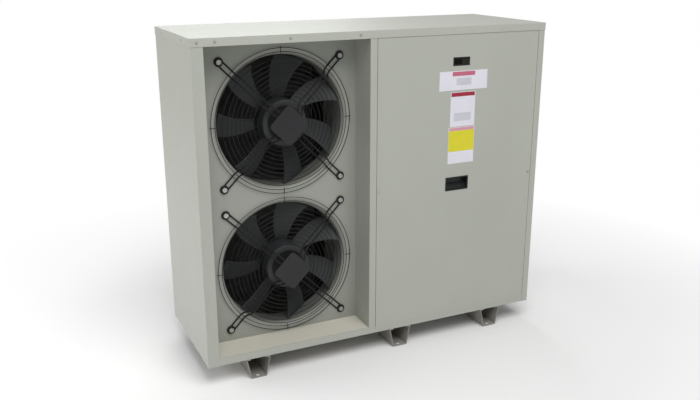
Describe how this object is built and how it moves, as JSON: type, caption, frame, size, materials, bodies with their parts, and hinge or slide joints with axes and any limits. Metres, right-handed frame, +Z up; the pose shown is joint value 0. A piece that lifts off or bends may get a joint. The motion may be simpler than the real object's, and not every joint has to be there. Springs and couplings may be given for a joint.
{
  "type": "mini chiller",
  "caption": "Outdoor mini chiller: sheet steel cabinet on channel feet, guarded axial fans in a recess beside a closed machine bay with a lift-off panel and controller window.",
  "frame": {"origin": "on the floor, at the middle of the four anchor holes of the two outer feet", "axes": "+X along the width to the right as seen from the front, +Y through the depth to the back, +Z up"},
  "size_m": [1.504, 0.587, 1.335],
  "materials": {
    "cabinet_paint": "light warm grey powder coat, satin",
    "galvanised": "plain galvanised sheet",
    "black_steel": "black powder coat, satin",
    "blade_plastic": "dark grey glass-filled plastic",
    "motor_metal": "dark painted metal",
    "black_plastic": "black moulded plastic",
    "zinc": "zinc plated steel",
    "fin_aluminium": "bare aluminium fins",
    "copper": "bare copper tube, brushed",
    "rubber": "black rubber",
    "foam": "closed-cell foam",
    "black_shell": "black gloss shell paint",
    "vessel_paint": "red paint",
    "pump_iron": "painted cast iron"
  },
  "bodies": {
    "cabinet": {"base_tray": "galvanised", "foot_left": "galvanised", "foot_middle": "galvanised", "foot_right": "galvanised", "foot_bolts": "zinc", "left_side_panel": "cabinet_paint", "right_side_panel": "cabinet_paint", "fan_bay_divider": "cabinet_paint", "front_rail": "cabinet_paint", "top_cover": "cabinet_paint", "cover_screws": "zinc", "rear_panel": "cabinet_paint", "fan_deck": "cabinet_paint", "panel_seal": "foam", "upper_guard": "black_steel", "upper_motor_plate": "black_steel", "upper_stator": "motor_metal", "upper_bearings": "motor_metal", "lower_guard": "black_steel", "lower_motor_plate": "black_steel", "lower_stator": "motor_metal", "lower_bearings": "motor_metal", "guard_screws": "zinc", "condenser_coil": "fin_aluminium", "coil_end_plates": "galvanised", "coil_baffle": "galvanised", "coil_headers": "copper", "coil_guard": "black_steel", "compressor": "black_shell", "compressor_mounts": "rubber", "terminal_cover": "black_plastic", "suction_accumulator": "black_shell", "heat_exchanger": "foam", "discharge_pipe": "copper", "filter_drier": "copper", "liquid_pipe": "copper", "expansion_valve": "copper", "suction_pipe": "copper", "pump": "pump_iron", "water_inlet_pipe": "copper", "water_outlet_pipe": "copper", "expansion_vessel": "vessel_paint", "vessel_pipe": "copper", "electrical_box": "galvanised", "electrical_box_cover": "galvanised", "controller": "black_plastic", "cable_gland": "black_plastic"},
    "upper_impeller": {"upper_impeller": "blade_plastic", "upper_rotor": "motor_metal"},
    "lower_impeller": {"lower_impeller": "blade_plastic", "lower_rotor": "motor_metal"},
    "access_panel": {"access_panel": "cabinet_paint", "pull_cup": "black_plastic"},
    "panel_lock_left": {"panel_lock_left": "zinc"},
    "panel_lock_right": {"panel_lock_right": "zinc"},
    "key_1": {"key_1": "black_plastic"},
    "key_2": {"key_2": "black_plastic"},
    "key_3": {"key_3": "black_plastic"},
    "key_4": {"key_4": "black_plastic"}
  },
  "joints": [
    {"name": "upper_fan_spin", "type": "hinge", "parent": "cabinet", "child": "upper_impeller", "pos_m": [-0.372, -0.117, 0.991], "axis": [0, 1, 0], "continuous": true},
    {"name": "lower_fan_spin", "type": "hinge", "parent": "cabinet", "child": "lower_impeller", "pos_m": [-0.372, -0.117, 0.405], "axis": [0, 1, 0], "continuous": true},
    {"name": "access_panel_lift_off", "type": "slide", "parent": "cabinet", "child": "access_panel", "axis": [0, -1, 0], "range_m": [0, 0.5]},
    {"name": "panel_lock_left_turn", "type": "hinge", "parent": "access_panel", "child": "panel_lock_left", "pos_m": [-0.019, -0.26, 0.7], "axis": [0, 1, 0], "range_deg": [0, 90]},
    {"name": "panel_lock_right_turn", "type": "hinge", "parent": "access_panel", "child": "panel_lock_right", "pos_m": [0.708, -0.26, 0.7], "axis": [0, 1, 0], "range_deg": [0, 90]},
    {"name": "key_1_press", "type": "slide", "parent": "cabinet", "child": "key_1", "axis": [0, 1, 0], "range_m": [0, 0.001], "stiffness_N_per_m": 1500},
    {"name": "key_2_press", "type": "slide", "parent": "cabinet", "child": "key_2", "axis": [0, 1, 0], "range_m": [0, 0.001], "stiffness_N_per_m": 1500},
    {"name": "key_3_press", "type": "slide", "parent": "cabinet", "child": "key_3", "axis": [0, 1, 0], "range_m": [0, 0.001], "stiffness_N_per_m": 1500},
    {"name": "key_4_press", "type": "slide", "parent": "cabinet", "child": "key_4", "axis": [0, 1, 0], "range_m": [0, 0.001], "stiffness_N_per_m": 1500}
  ]
}
